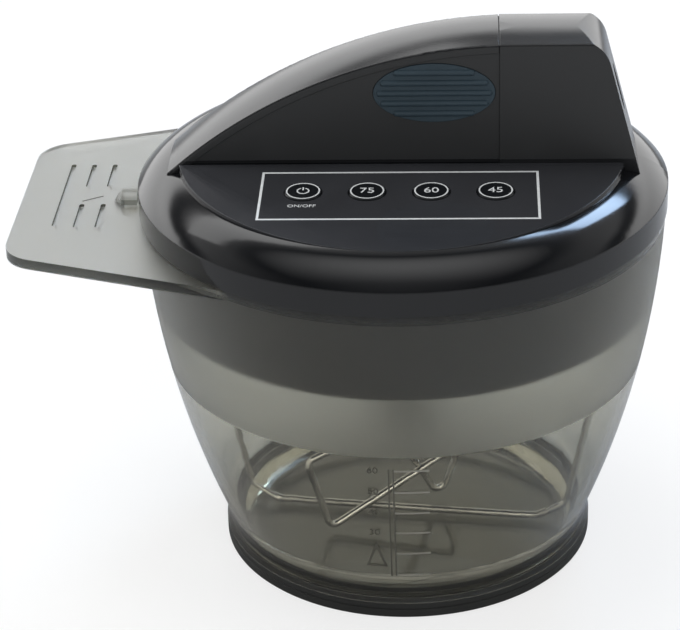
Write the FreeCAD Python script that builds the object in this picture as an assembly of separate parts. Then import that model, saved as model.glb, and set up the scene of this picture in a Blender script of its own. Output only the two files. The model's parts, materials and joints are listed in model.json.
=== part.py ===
import FreeCAD, Part
import math
import os

os.makedirs("parts", exist_ok=True)

V = FreeCAD.Vector
ORIGIN = V(0, 0, 0)
UP = V(0, 0, 1)
ALONG = V(1, 0, 0)

# Clearances
seat_gap = 0.1
curve_gap = 0.6
running_gap = 0.05

# Bowl, standing on the table at z = 0 with its axis on Z and its handle towards -X
rim_r = 80.3
rim_z = 115.3
bowl_curve_r = 305.3
bowl_curve_z = 127.1
bowl_wall = 2.6
waist_z = 16.0
foot_inset = 0.8
foot_pinch = 0.7
floor_z = 2.6
floor_wall = 2.2
floor_corner = 9.8
floor_sink = 2.7

# Non-slip ring under the foot
ring_height = 5.5
ring_width = 4.0
ring_edge = 0.8

# Handle plate of the bowl, its drip slots and its locating lug
plate_wall = 3.2
plate_reach = 37.2
plate_end_half = 40.0
plate_root_x = -20.0
plate_root_inset = 6.7
plate_root_corner_r = 1.0
plate_corner_r = 12.0
slot_width = 1.5
slot_end_r = 0.73
long_slot_inset = 12.5
long_slot_ends = (-19.5, 26.0)
short_slot_insets = (19.1, 25.7)
short_slot_ends = ((-20.6, -4.0), (9.0, 25.8))
lug_r = 5.4
lug_length = 7.6
lug_gap = 1.1
lug_drop = 2.1

# Head: base moulding with a band, a spigot inside the bowl and a floor
wall = 2.2
band_lip = 0.4
band_height = 7.6
spigot_depth = 29.6
spigot_chamfer = 1.2
shaft_boss_r = 11.0
shaft_boss_tip_r = 8.8
shaft_boss_height = 6.0
head_boss_x = 50.0
head_boss_y = 40.0
head_boss_r = 4.0
head_screw_r = 1.5
head_screw_head_r = 2.8
head_screw_head_height = 2.0
head_screw_bite = 6.0

# Head: top moulding, with a shoulder, a roof that falls to both sides and a fin across it
shoulder_rise = 6.9
shoulder_width = 12.7
shoulder_swell_out = 0.62
shoulder_swell_up = 1.14
ridge_rise = 17.8
roof_fall = 2.8
roof_reach = 90.0
fin_half = 12.9
fin_top = 169.9
arch_x = 35.0
arch_r = 157.7
tail_inset = 9.0
tail_z = 127.4
tail_lean = 15.2
tail_corner_r = 10.0

# Covers of the fin
cover_half = 13.3
cover_wall = 2.5
crown = 1.0
cover_edge_r = 0.9
cover_tip = 2.5
seam_x = 29.5
seam_groove = 0.3
inlet_drop = 18.6
inlet_length = 15.0
inlet_width = 8.0
inlet_depth = 5.0
inlet_end_r = 3.92
inlet_rim = 1.4

# Finger grips set into the sides of the fin
grip_x = 10.2
grip_z = 155.0
grip_half_length = 18.0
grip_half_height = 9.2
grip_wall = 1.2
grip_seat = 0.9
grip_rib_count = 5
grip_rib_pitch = 3.2
grip_rib_r = 0.9

# Control panel, its round buttons and the board below them
panel_wall = 1.4
button_count = 4
button_pitch = 18.8
button_row_y = -31.8
button_r = 5.5
button_hole_r = 5.7
button_proud = 0.5
button_flange_r = 6.8
button_flange_wall = 1.0
button_travel = 0.8
board_half = 44.0
board_near_y = -20.5
board_far_y = -47.0
board_wall = 1.6
board_drop = 9.0
board_post_r = 2.6
board_post_inset = 3.5
board_screw_r = 1.0
board_screw_bite = 4.5
board_screw_head_r = 2.0
board_screw_head_height = 1.2
switch_side = 6.2
switch_key_r = 1.7
switch_key_height = 1.0
chip_sizes = ((-18.8, 9.0, 7.0), (18.8, 6.0, 5.0))
chip_height = 1.2

# Gear train: motor pinion, double gear and output gear, all on one line along X
module = 0.8
pressure_angle = 25.0
addendum = 0.8
dedendum = 1.1
backlash = 0.14
output_teeth = 48
small_teeth = 12
large_teeth = 40
pinion_teeth = 10
output_face = 5.0
wheel_face = 4.0
gear_gap = 1.0
output_hub_r = 7.0
wheel_web = 1.6
wheel_rim = 2.4
wheel_hub_r = 6.5

# Gearbox case
case_floor = 2.5
case_wall = 2.0
case_cover = 3.0
case_clear = 1.6
case_ear_r = 3.6
case_screw_r = 1.2
case_screw_head_r = 2.3
case_screw_head_height = 1.6
case_screw_depth = 14.0
case_ears = ((13.0, 22.5), (-35.0, 19.5))

# Shafts and bushes
shaft_r = 3.0
pin_r = 1.5
bush_wall = 1.8
bush_flange = 1.2
bush_flange_r = 6.4
seal_r = 7.0
seal_height = 2.6
seal_lip = 0.02
clip_r = 5.0
clip_wall = 0.8
shaft_end = 2.0

# Motor
motor_r = 10.05
motor_flat = 7.55
motor_height = 25.0
motor_nose_r = 3.0
motor_nose = 1.6
motor_shaft_r = 1.0
motor_collar = 6.0
motor_collar_wall = 1.6

# Battery and charging socket
cell_inset = 23.0
cell_r = 9.2
cell_headroom = 15.2
cell_button_r = 3.0
cell_button = 1.2
cradle_wall = 1.8
cradle_height = 26.0
socket_depth = 3.5
charge_board_wall = 1.2
charge_board_width = 13.0
charge_board_length = 21.0

# Stirrer: one wire frame that follows the bowl and one crossed beater wire
wire_r = 1.15
hub_r = 8.0
hub_top = 57.0
hub_height = 14.0
hub_tip_r = 6.0
hub_tip_swell_r = 7.5
hub_tip_swell = 1.0
hub_tip_height = 3.0
hub_top_edge = 2.0
frame_turn = -7.0
frame_arm_z = 48.5
frame_arm_gap = 7.6
frame_knee_z = 9.3
frame_knee_gap = 4.5
frame_foot_gap = 14.3
frame_bend_r = 4.5
wire_floor_gap = 0.65
beater_turn = 24.0
beater_bend_r = 2.6
beater_cross = 1.25
beater_root = 3.4
beater_root_sink = 2.0
beater_fork_z = 34.0
beater_right = 11.9
beater_right_top = 19.0
beater_right_top_z = 24.0
beater_left = 27.4
beater_left_top = 34.8
beater_left_top_z = 30.5
beater_return_z = 39.5

# Heights and radii that follow from the sizes above
bowl_centre_r = rim_r - math.sqrt(bowl_curve_r**2 - (rim_z - bowl_curve_z) ** 2)
waist_r = bowl_centre_r + math.sqrt(bowl_curve_r**2 - (waist_z - bowl_curve_z) ** 2)
foot_r = waist_r - foot_inset
floor_under_z = floor_z - floor_wall
plate_end_x = -rim_r - plate_reach
lug_root_x = -rim_r - lug_gap
lug_end_x = lug_root_x - lug_length
band_r = rim_r + band_lip
deck_r = band_r - shoulder_width
tail_x = band_r - tail_inset
inlet_z = fin_top - inlet_drop
cell_x = deck_r - cell_inset
seam_z = rim_z + band_height
spigot_z = rim_z - spigot_depth
head_floor_z = spigot_z + wall
deck_edge_z = seam_z + shoulder_rise
ridge_z = rim_z + ridge_rise
fin_root_z = seam_z
boss_tip_z = spigot_z - shaft_boss_height
roof_slope = math.tan(math.radians(roof_fall))
arch_z = fin_top - arch_r
lean_slope = math.tan(math.radians(tail_lean))
case_z = head_floor_z
output_z = case_z + case_floor + gear_gap
wheel_z = output_z + output_face + gear_gap
cover_z = wheel_z + wheel_face + gear_gap
motor_z = cover_z + case_cover
double_x = -module * (output_teeth + small_teeth) / 2
motor_x = double_x - module * (large_teeth + pinion_teeth) / 2
bush_r = shaft_r + bush_wall
hub_low = hub_top - hub_height
wire_low_z = floor_z + wire_floor_gap + wire_r
cell_height = fin_top - head_floor_z - cradle_wall - cell_headroom


def straight(a, b):
    return Part.LineSegment(a, b).toShape()


def arc(a, b, c):
    return Part.Arc(a, b, c).toShape()


def cylinder(r, height, x=0.0, y=0.0, z=0.0, axis=UP):
    return Part.makeCylinder(r, height, V(x, y, z), axis)


def block(x_from, x_to, y_from, y_to, z_from, z_to):
    return Part.makeBox(x_to - x_from, y_to - y_from, z_to - z_from, V(x_from, y_from, z_from))


def turned(first, *rest):
    """Solid of revolution about Z. A step is (r, z), or (r, z, middle r, middle z) for an arc."""
    here = V(first[0], 0, first[1])
    edges = []
    for step in rest + (first,):
        there = V(step[0], 0, step[1])
        if len(step) == 4:
            edges.append(arc(here, V(step[2], 0, step[3]), there))
        else:
            edges.append(straight(here, there))
        here = there
    return Part.Face(Part.Wire(edges)).revolve(ORIGIN, UP, 360)


def bent_path(points):
    """Edges through (point, bend radius) pairs, with an arc at each inner point."""
    edges = []
    here = points[0][0]
    for (before, _), (corner, radius), (after, _) in zip(points, points[1:], points[2:]):
        back = (before - corner).normalize()
        ahead = (after - corner).normalize()
        half_turn = back.getAngle(ahead) / 2
        reach = radius / math.tan(half_turn)
        inward = (back + ahead).normalize()
        middle = corner + inward * (radius / math.sin(half_turn) - radius)
        leave = corner + ahead * reach
        edges.append(straight(here, corner + back * reach))
        edges.append(arc(corner + back * reach, middle, leave))
        here = leave
    edges.append(straight(here, points[-1][0]))
    return edges


def rounded_face(points):
    """Flat face whose corners are given as (point, corner radius)."""
    start = (points[-1][0] + points[0][0]) * 0.5
    ring = [(start, 0.0)] + points + [(start, 0.0)]
    return Part.Face(Part.Wire(bent_path(ring)))


def rod(points):
    """Round wire of the stirrer along a bent path."""
    path = Part.Wire(bent_path(points))
    ahead = path.Edges[0].tangentAt(path.Edges[0].FirstParameter)
    section = Part.Wire(Part.makeCircle(wire_r, points[0][0], ahead))
    return path.makePipeShell([section], True, True)


def save(name, shape):
    if not shape.isValid():
        print("not valid:", name)
    if len(shape.Solids) == 1:
        shape = shape.Solids[0]
    print(name, len(shape.Solids), round(shape.Volume, 1))
    shape.exportStep("parts/" + name + ".step")


def wall_r(z, inset):
    """Radius of the bowl's curved wall at a height, moved inwards by inset."""
    centre = rim_r - math.sqrt(bowl_curve_r**2 - (rim_z - bowl_curve_z) ** 2)
    return centre + math.sqrt((bowl_curve_r - inset) ** 2 - (z - bowl_curve_z) ** 2)


def wall_arc(z_from, z_to, inset):
    """Step for turned() that follows the bowl's wall up or down to z_to."""
    middle = (z_from + z_to) / 2
    return (wall_r(z_to, inset), z_to, wall_r(middle, inset), middle)


def bowl_shell():
    inner_waist_r = wall_r(waist_z, bowl_wall)
    foot_mid_z = (ring_height + waist_z) / 2
    seat_r = foot_r - ring_width
    return turned(
        (0, floor_under_z),
        (seat_r, floor_under_z),
        (seat_r, ring_height),
        (foot_r, ring_height),
        (waist_r, waist_z, foot_r - foot_pinch, foot_mid_z),
        wall_arc(waist_z, rim_z, 0),
        (wall_r(rim_z, bowl_wall), rim_z),
        wall_arc(rim_z, waist_z, bowl_wall),
        (inner_waist_r - floor_corner, floor_z, inner_waist_r - floor_sink, floor_z + floor_sink * 3 / 2),
        (0, floor_z),
    )


def slot(x, y_from, y_to):
    r = slot_width / 2
    corners = [V(x - r, y_from, 0), V(x + r, y_from, 0), V(x + r, y_to, 0), V(x - r, y_to, 0)]
    face = rounded_face([(corner, slot_end_r) for corner in corners])
    face.translate(V(0, 0, rim_z - 2 * plate_wall))
    return face.extrude(V(0, 0, 3 * plate_wall))


def handle_plate():
    root_half = rim_r - plate_root_inset
    corners = [
        (V(plate_root_x, -root_half, 0), plate_root_corner_r),
        (V(plate_end_x, -plate_end_half, 0), plate_corner_r),
        (V(plate_end_x, plate_end_half, 0), plate_corner_r),
        (V(plate_root_x, root_half, 0), plate_root_corner_r),
    ]
    face = rounded_face(corners)
    face.translate(V(0, 0, rim_z - plate_wall))
    plate = face.extrude(V(0, 0, plate_wall))
    cuts = [slot(plate_end_x + long_slot_inset, *long_slot_ends)]
    for inset in short_slot_insets:
        for ends in short_slot_ends:
            cuts.append(slot(plate_end_x + inset, *ends))
    return plate.cut(cuts)


def locating_lug():
    z = rim_z - lug_drop
    barrel = cylinder(lug_r, lug_root_x - lug_end_x - lug_r / 2, lug_end_x + lug_r / 2, 0, z, ALONG)
    tip = Part.makeSphere(lug_r, V(lug_end_x + lug_r, 0, z))
    nose = tip.common(block(lug_end_x, lug_end_x + lug_r, -lug_r, lug_r, z - lug_r, z + lug_r))
    return barrel.fuse(nose)


def bowl():
    inside = turned(
        (0, waist_z),
        (wall_r(waist_z, bowl_wall), waist_z),
        wall_arc(waist_z, rim_z, bowl_wall),
        (wall_r(rim_z, bowl_wall), rim_z + plate_wall),
        (0, rim_z + plate_wall),
    )
    outer = bowl_shell().fuse([handle_plate(), locating_lug()])
    return outer.cut(inside).removeSplitter()


def foot_ring():
    inner_r = foot_r - ring_width + seat_gap
    return turned(
        (inner_r, 0),
        (foot_r - ring_edge, 0),
        (foot_r, ring_edge),
        (foot_r, ring_height),
        (inner_r, ring_height),
    )


def head_boss_places():
    return [(sx * head_boss_x, sy * head_boss_y) for sx in (-1, 1) for sy in (-1, 1)]


def lower_housing():
    inset = bowl_wall + curve_gap
    low_r = wall_r(spigot_z, inset)
    middle_z = (spigot_z + rim_z) / 2
    inner_low_r = wall_r(head_floor_z, inset + wall)
    body = turned(
        (0, boss_tip_z),
        (shaft_boss_tip_r, boss_tip_z),
        (shaft_boss_r, spigot_z),
        (low_r - spigot_chamfer, spigot_z),
        (low_r, spigot_z + spigot_chamfer),
        (wall_r(rim_z, inset), rim_z, wall_r(middle_z, inset), middle_z),
        (band_r, rim_z),
        (band_r, seam_z),
        (band_r - wall, seam_z),
        (band_r - wall, rim_z + wall),
        (wall_r(rim_z, inset + wall), rim_z + wall),
        (inner_low_r, head_floor_z, wall_r(middle_z, inset + wall), middle_z),
        (0, head_floor_z),
    )
    bosses = []
    holes = [cylinder(bush_r, head_floor_z, 0, 0, 0), cylinder(seal_r, seal_height, 0, 0, boss_tip_z)]
    top = seam_z - spigot_z - seat_gap
    for x, y in head_boss_places():
        bosses.append(cylinder(head_boss_r, top, x, y, spigot_z))
        holes.append(cylinder(head_screw_r, top, x, y, spigot_z))
        holes.append(cylinder(head_screw_head_r + seat_gap, head_screw_head_height, x, y, spigot_z))
    return body.fuse(bosses).cut(holes).removeSplitter()


def housing_screws():
    length = seam_z + head_screw_bite - spigot_z - head_screw_head_height
    screws = []
    for x, y in head_boss_places():
        head = cylinder(head_screw_head_r, head_screw_head_height, x, y, spigot_z)
        shank = cylinder(head_screw_r, length, x, y, spigot_z + head_screw_head_height)
        screws.append(head.fuse(shank).removeSplitter())
    return Part.makeCompound(screws)


def above_roof(drop):
    """Everything above the two falling planes of the roof, lowered by drop."""
    top = ridge_z + roof_reach
    low = ridge_z - drop - roof_reach * roof_slope
    profile = [
        V(-roof_reach, -roof_reach, low),
        V(-roof_reach, 0, ridge_z - drop),
        V(-roof_reach, roof_reach, low),
        V(-roof_reach, roof_reach, top),
        V(-roof_reach, -roof_reach, top),
    ]
    return Part.Face(Part.makePolygon(profile + profile[:1])).extrude(V(2 * roof_reach, 0, 0))


def dome(inset, drop):
    """Shoulder and roof of the head, moved inwards by inset and with the roof lowered by drop."""
    edge_r = deck_r - inset
    edge_z = deck_edge_z - inset
    base_r = band_r - inset
    middle_r = (base_r + edge_r) / 2 + shoulder_swell_out
    middle_z = (seam_z + edge_z) / 2 + shoulder_swell_up
    rise = turned((0, seam_z), (base_r, seam_z), (edge_r, edge_z, middle_r, middle_z), (0, edge_z))
    deck = cylinder(edge_r, ridge_z - seam_z, 0, 0, seam_z)
    pocket = cylinder(edge_r, roof_reach, 0, 0, seam_z).common(above_roof(drop))
    return rise.fuse(deck).cut(pocket).removeSplitter()


def tail_point(z, inset):
    """Point on the sloping rear line of the fin."""
    x = tail_x - inset / math.cos(math.radians(tail_lean)) - (z - tail_z) * lean_slope
    return V(x, 0, z)


def fin_block(inset, half, top_lift=0.0):
    """Body of the fin: its side outline, moved inwards by inset, drawn out to both sides."""
    r = arch_r - inset + top_lift
    top = V(arch_x, 0, fin_top - inset + top_lift)
    reach = math.sqrt(r**2 - (fin_root_z - arch_z) ** 2)
    nose = V(arch_x - reach, 0, fin_root_z)
    half_angle = math.asin(reach / r) / 2
    middle = V(arch_x - r * math.sin(half_angle), 0, arch_z + r * math.cos(half_angle))
    corner = tail_point(top.z, inset)
    rear = bent_path([(top, 0.0), (corner, tail_corner_r - inset), (tail_point(fin_root_z, inset), 0.0)])
    edges = [arc(nose, middle, top)] + rear + [straight(tail_point(fin_root_z, inset), nose)]
    face = Part.Face(Part.Wire(edges))
    face.translate(V(0, -half, 0))
    return face.extrude(V(0, 2 * half, 0))


def behind(x):
    return block(x, roof_reach, -roof_reach, roof_reach, 0, fin_top + roof_reach)


def ahead(x):
    return block(-roof_reach, x, -roof_reach, roof_reach, 0, fin_top + roof_reach)


def tilted(shape):
    """Lays a shape that is drawn flat at the ridge's height onto the front slope of the roof."""
    turned_shape = shape.copy()
    turned_shape.rotate(V(0, 0, ridge_z), ALONG, roof_fall)
    return turned_shape


def button_places():
    first = -button_pitch * (button_count - 1) / 2
    return [(first + button_pitch * index, button_row_y) for index in range(button_count)]


def board_post_places():
    xs = (-board_half + board_post_inset, board_half - board_post_inset)
    ys = (board_near_y - board_post_inset, board_far_y + board_post_inset)
    return [(x, y) for x in xs for y in ys]


def grip_pad(grow, depth):
    """Flat oval of the finger grip, standing off the origin plane by depth."""
    oval = Part.Ellipse(ORIGIN, grip_half_length + grow, grip_half_height + grow).toShape()
    face = Part.Face(Part.Wire(oval))
    face.rotate(ORIGIN, ALONG, 90)
    face.translate(V(grip_x, 0, grip_z))
    return face.extrude(V(0, -depth, 0))


def upper_housing():
    shell = dome(0, panel_wall)
    fin = fin_block(cover_wall, fin_half).common(ahead(seam_x))
    hollow = dome(wall, panel_wall + wall)
    fin_hollow = fin_block(cover_wall + wall, fin_half - wall)
    body = shell.fuse(fin).cut(hollow)
    body = body.cut(fin_hollow)
    posts = []
    holes = []
    board_z = ridge_z - board_drop
    post_top = ridge_z - panel_wall - wall / 2
    for x, y in board_post_places():
        posts.append(tilted(cylinder(board_post_r, post_top - board_z, x, y, board_z)))
        holes.append(tilted(cylinder(board_screw_r, board_screw_bite, x, y, board_z)))
    for x, y in button_places():
        holes.append(tilted(cylinder(button_hole_r, 3 * wall, x, y, post_top - wall)))
    for x, y in head_boss_places():
        posts.append(cylinder(head_boss_r, deck_edge_z - seam_z - wall / 2, x, y, seam_z))
        holes.append(cylinder(head_screw_r, head_screw_bite, x, y, seam_z))
    for side in (-1, 1):
        seat = grip_pad(seat_gap, grip_seat)
        seat.translate(V(0, -(fin_half - grip_seat), 0))
        if side > 0:
            seat = seat.mirror(ORIGIN, V(0, 1, 0))
        holes.append(seat)
    return body.fuse(posts).cut(holes).removeSplitter()


def panel(side):
    """Half-round plate on one slope of the roof."""
    plate = cylinder(deck_r - seat_gap, roof_reach, 0, 0, seam_z)
    plate = plate.cut(above_roof(0)).common(above_roof(panel_wall))
    keep = block(-roof_reach, roof_reach, -roof_reach, -cover_half - seat_gap, 0, fin_top)
    plate = plate.common(keep)
    if side > 0:
        return plate.mirror(ORIGIN, V(0, 1, 0))
    low = ridge_z - 2 * panel_wall
    places = button_places()
    return plate.cut([tilted(cylinder(button_hole_r, 3 * panel_wall, x, y, low)) for x, y in places])


def crowned_section(r_low, r_edge, half):
    """Face across the arch at its top: flat below, crowned above, with rounded upper edges."""
    left_low = V(arch_x, -half, arch_z + r_low)
    right_low = V(arch_x, half, arch_z + r_low)
    left = V(arch_x, -half, arch_z + r_edge - cover_edge_r)
    right = V(arch_x, half, arch_z + r_edge - cover_edge_r)
    blend = 0.29 * cover_edge_r
    left_top = V(arch_x, -half + cover_edge_r, arch_z + r_edge)
    right_top = V(arch_x, half - cover_edge_r, arch_z + r_edge)
    edges = [
        straight(left_low, left),
        arc(left, V(arch_x, -half + blend, arch_z + r_edge - blend), left_top),
        arc(left_top, V(arch_x, 0, arch_z + r_edge + crown), right_top),
        arc(right_top, V(arch_x, half - blend, arch_z + r_edge - blend), right),
        straight(right, right_low),
        straight(right_low, left_low),
    ]
    return Part.Face(Part.Wire(edges))


def spine_cover():
    section = crowned_section(arch_r - cover_wall, arch_r, cover_half)
    sweep = math.degrees(math.acos((fin_root_z - arch_z) / arch_r))
    strip = section.revolve(V(arch_x, 0, arch_z), V(0, -1, 0), sweep)
    under = block(-roof_reach, roof_reach, -roof_reach, roof_reach, 0, seam_z + wall)
    return strip.cut([dome(0, panel_wall), under, behind(seam_x - seam_groove), ahead(-deck_r - cover_tip)])


def rear_cover():
    outer = fin_block(0, cover_half, crown).common(behind(seam_x))
    crowned = crowned_section(fin_root_z - arch_z, arch_r, cover_half)
    crowned.translate(V(seam_x - arch_x, 0, 0))
    outer = outer.common(crowned.extrude(V(roof_reach, 0, 0)))
    inner = fin_block(wall, cover_half - wall)
    middle = tail_point(inlet_z, 0)
    inlet = inlet_block(inlet_width, inlet_length, 3 * inlet_depth, inlet_end_r)
    inlet.translate(middle)
    boss_width = inlet_width + 2 * inlet_rim
    boss_length = inlet_length + 2 * inlet_rim
    boss = inlet_block(boss_width, boss_length, 2 * inlet_depth, inlet_end_r + inlet_rim)
    boss.translate(middle)
    boss = boss.common(fin_block(0, cover_half))
    shell = outer.cut(inner).fuse(boss)
    return shell.cut([inlet, dome(0, panel_wall)]).removeSplitter()


def inlet_block(width, length, depth, end_r):
    """Oblong along the slope of the rear face, centred on the origin."""
    corners = [
        V(0, -width / 2, -length / 2),
        V(0, width / 2, -length / 2),
        V(0, width / 2, length / 2),
        V(0, -width / 2, length / 2),
    ]
    face = rounded_face([(corner, end_r) for corner in corners])
    face.translate(V(-depth / 2, 0, 0))
    solid = face.extrude(V(depth, 0, 0))
    solid.rotate(ORIGIN, V(0, 1, 0), -tail_lean)
    return solid


def inward(depth):
    """Centre of the inlet, moved into the cover at right angles to its rear face."""
    lean = math.radians(tail_lean)
    return tail_point(inlet_z, 0) - V(depth * math.cos(lean), 0, depth * math.sin(lean))


def charging_socket():
    width = inlet_width - 2 * seat_gap
    plug = inlet_block(width, inlet_length - 2 * seat_gap, socket_depth, inlet_end_r - seat_gap)
    return plug.translate(inward(inlet_depth + socket_depth / 2))


def charge_board():
    half_wall = charge_board_wall / 2
    half_width = charge_board_width / 2
    half = charge_board_length / 2
    board = block(-half_wall, half_wall, -half_width, half_width, -half, half)
    board.rotate(ORIGIN, V(0, 1, 0), -tail_lean)
    return board.translate(inward(inlet_depth + socket_depth + charge_board_wall / 2))


def grip(side):
    """Soft oval pad with ribs, seated in the side of the fin."""
    pad = grip_pad(0, grip_wall)
    pad.translate(V(0, -(fin_half - grip_seat), 0))
    ribs = []
    face_y = -(fin_half - grip_seat) - grip_wall
    for index in range(grip_rib_count):
        offset = (index - (grip_rib_count - 1) / 2) * grip_rib_pitch
        half = grip_half_length * math.sqrt(1 - (abs(offset) / grip_half_height) ** 2) - 2 * grip_rib_r
        ribs.append(cylinder(grip_rib_r, 2 * half, grip_x - half, face_y, grip_z + offset, ALONG))
        for end in (-half, half):
            ribs.append(Part.makeSphere(grip_rib_r, V(grip_x + end, face_y, grip_z + offset)))
    pad = pad.fuse(ribs).removeSplitter()
    return pad if side < 0 else pad.mirror(ORIGIN, V(0, 1, 0))


def button(index):
    x, y = button_places()[index]
    under = ridge_z - panel_wall - wall - seat_gap
    cap = cylinder(button_r, ridge_z + button_proud - under, x, y, under)
    flange = cylinder(button_flange_r, button_flange_wall, x, y, under - button_flange_wall)
    top_edges = [edge for edge in cap.Edges if edge.BoundBox.ZMin > ridge_z]
    return tilted(cap.makeFillet(button_proud * 0.8, top_edges[:1]).fuse(flange).removeSplitter())


def control_board():
    top = ridge_z - board_drop
    board = block(-board_half, board_half, board_far_y, board_near_y, top - board_wall, top)
    holes = [cylinder(board_screw_r, 2 * board_wall, x, y, top - board_wall) for x, y in board_post_places()]
    chips = []
    z = top - board_wall - chip_height
    y = button_row_y
    for x, length, width in chip_sizes:
        chips.append(block(x - length / 2, x + length / 2, y - width, y, z, z + chip_height))
    return tilted(board.cut(holes).fuse(chips))


def board_screws():
    z = ridge_z - board_drop - board_wall
    screws = []
    for x, y in board_post_places():
        head = cylinder(board_screw_head_r, board_screw_head_height, x, y, z - board_screw_head_height)
        shank = cylinder(board_screw_r, board_wall + board_screw_bite, x, y, z)
        screws.append(tilted(head.fuse(shank).removeSplitter()))
    return Part.makeCompound(screws)


def key_switches():
    z = ridge_z - board_drop
    under = ridge_z - panel_wall - wall - seat_gap - button_flange_wall
    half = switch_side / 2
    key_top = under - button_travel - seat_gap
    switches = []
    for x, y in button_places():
        body = block(x - half, x + half, y - half, y + half, z, key_top - switch_key_height)
        key = cylinder(switch_key_r, switch_key_height, x, y, key_top - switch_key_height)
        switches.append(tilted(body.fuse(key)))
    return Part.makeCompound(switches)


def involute_point(base_r, r):
    """Polar angle and radius of the involute of a base circle where it reaches radius r."""
    if r <= base_r:
        return 0.0
    spread = math.sqrt((r / base_r) ** 2 - 1)
    return spread - math.atan(spread)


def gear(teeth, face_width, x, z, phase):
    """Spur gear with involute flanks, thinned by the backlash."""
    pitch_r = module * teeth / 2
    base_r = pitch_r * math.cos(math.radians(pressure_angle))
    tip_r = pitch_r + addendum * module
    root_r = pitch_r - dedendum * module
    half_tooth = math.pi / (2 * teeth) - backlash / 2 / pitch_r
    at_pitch = involute_point(base_r, pitch_r)
    start_r = max(base_r, root_r)
    flank = [root_r] if root_r < base_r else []
    flank += [start_r + (tip_r - start_r) * step / 3 for step in range(4)]
    points = []
    for tooth in range(teeth):
        centre = math.radians(phase) + 2 * math.pi * tooth / teeth
        for r in flank:
            angle = centre - half_tooth - at_pitch + involute_point(base_r, r)
            points.append(V(x + r * math.cos(angle), r * math.sin(angle), z))
        for r in reversed(flank):
            angle = centre + half_tooth + at_pitch - involute_point(base_r, r)
            points.append(V(x + r * math.cos(angle), r * math.sin(angle), z))
    return Part.Face(Part.makePolygon(points + points[:1])).extrude(V(0, 0, face_width))


def output_gear():
    wheel = gear(output_teeth, output_face, 0, output_z, 180.0 / output_teeth)
    root_r = module * output_teeth / 2 - dedendum * module
    web_cut = (output_face - wheel_web) / 2
    ring = cylinder(root_r - wheel_rim, web_cut, 0, 0, 0).cut(cylinder(output_hub_r, web_cut, 0, 0, 0))
    low = ring.copy()
    low.translate(V(0, 0, output_z))
    high = ring.copy()
    high.translate(V(0, 0, output_z + output_face - web_cut))
    return wheel.cut([low, high, cylinder(shaft_r, output_face, 0, 0, output_z)])


def double_gear():
    wheel = gear(large_teeth, wheel_face, double_x, wheel_z, 0.0)
    pinion = gear(small_teeth, wheel_z - output_z, double_x, output_z, 0.0)
    root_r = module * large_teeth / 2 - dedendum * module
    web_cut = (wheel_face - wheel_web) / 2
    web_z = wheel_z + wheel_face - web_cut
    ring = cylinder(root_r - wheel_rim, web_cut, double_x, 0, web_z)
    ring = ring.cut(cylinder(wheel_hub_r, web_cut, double_x, 0, web_z))
    bore = cylinder(pin_r + running_gap, wheel_z + wheel_face - output_z, double_x, 0, output_z)
    return wheel.fuse(pinion).cut([ring, bore]).removeSplitter()


def motor_pinion():
    wheel = gear(pinion_teeth, wheel_face, motor_x, wheel_z, 180.0 / pinion_teeth)
    return wheel.cut(cylinder(motor_shaft_r, wheel_face, motor_x, 0, wheel_z))


def case_outline(grow, z, height):
    """Plan of the gearbox: a round for each gear and a bridge between the two large ones."""
    tip = addendum * module
    output_r = module * output_teeth / 2 + tip + case_clear + grow
    wheel_r = module * large_teeth / 2 + tip + case_clear + grow
    pinion_r = module * pinion_teeth / 2 + tip + case_clear + grow
    rounds = [
        cylinder(wheel_r, height, double_x, 0, z),
        cylinder(pinion_r, height, motor_x, 0, z),
        block(double_x, 0, -wheel_r, wheel_r, z, z + height),
    ]
    return cylinder(output_r, height, 0, 0, z).fuse(rounds).removeSplitter()


def case_ear_places():
    return [(x, side * y) for x, y in case_ears for side in (-1, 1)]


def gearbox_case():
    depth = cover_z - case_z
    body = case_outline(case_wall, case_z, depth)
    ears = [cylinder(case_ear_r, depth, x, y, case_z) for x, y in case_ear_places()]
    hollow = case_outline(0, case_z + case_floor, depth)
    low = cover_z - case_screw_depth
    holes = [cylinder(case_screw_r, case_screw_depth, x, y, low) for x, y in case_ear_places()]
    holes.append(cylinder(bush_flange_r + seat_gap, case_floor, 0, 0, case_z))
    holes.append(cylinder(pin_r, case_floor, double_x, 0, case_z))
    return body.fuse(ears).cut([hollow] + holes).removeSplitter()


def gearbox_cover():
    plate = case_outline(case_wall, cover_z, case_cover)
    ears = [cylinder(case_ear_r, case_cover, x, y, cover_z) for x, y in case_ear_places()]
    holes = [cylinder(case_screw_r, case_cover, x, y, cover_z) for x, y in case_ear_places()]
    holes.append(cylinder(bush_r, case_cover, 0, 0, cover_z))
    holes.append(cylinder(pin_r, case_cover, double_x, 0, cover_z))
    pinion_tip = module * pinion_teeth / 2 + addendum * module
    holes.append(cylinder(pinion_tip + seat_gap, case_cover, motor_x, 0, cover_z))
    outer = motor_can(motor_collar_wall + seat_gap, motor_collar, motor_z)
    inner = motor_can(seat_gap, motor_collar, motor_z)
    return plate.fuse(ears).fuse(outer.cut(inner)).cut(holes).removeSplitter()


def case_screws():
    screws = []
    for x, y in case_ear_places():
        head = cylinder(case_screw_head_r, case_screw_head_height, x, y, motor_z)
        shank = cylinder(case_screw_r, case_cover + case_screw_depth, x, y, cover_z - case_screw_depth)
        screws.append(head.fuse(shank).removeSplitter())
    return Part.makeCompound(screws)


def motor_can(grow, height, z):
    flat = motor_flat + grow
    side = block(motor_x - 2 * motor_r, motor_x + 2 * motor_r, -flat, flat, z, z + height)
    return cylinder(motor_r + grow, height, motor_x, 0, z).common(side)


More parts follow.
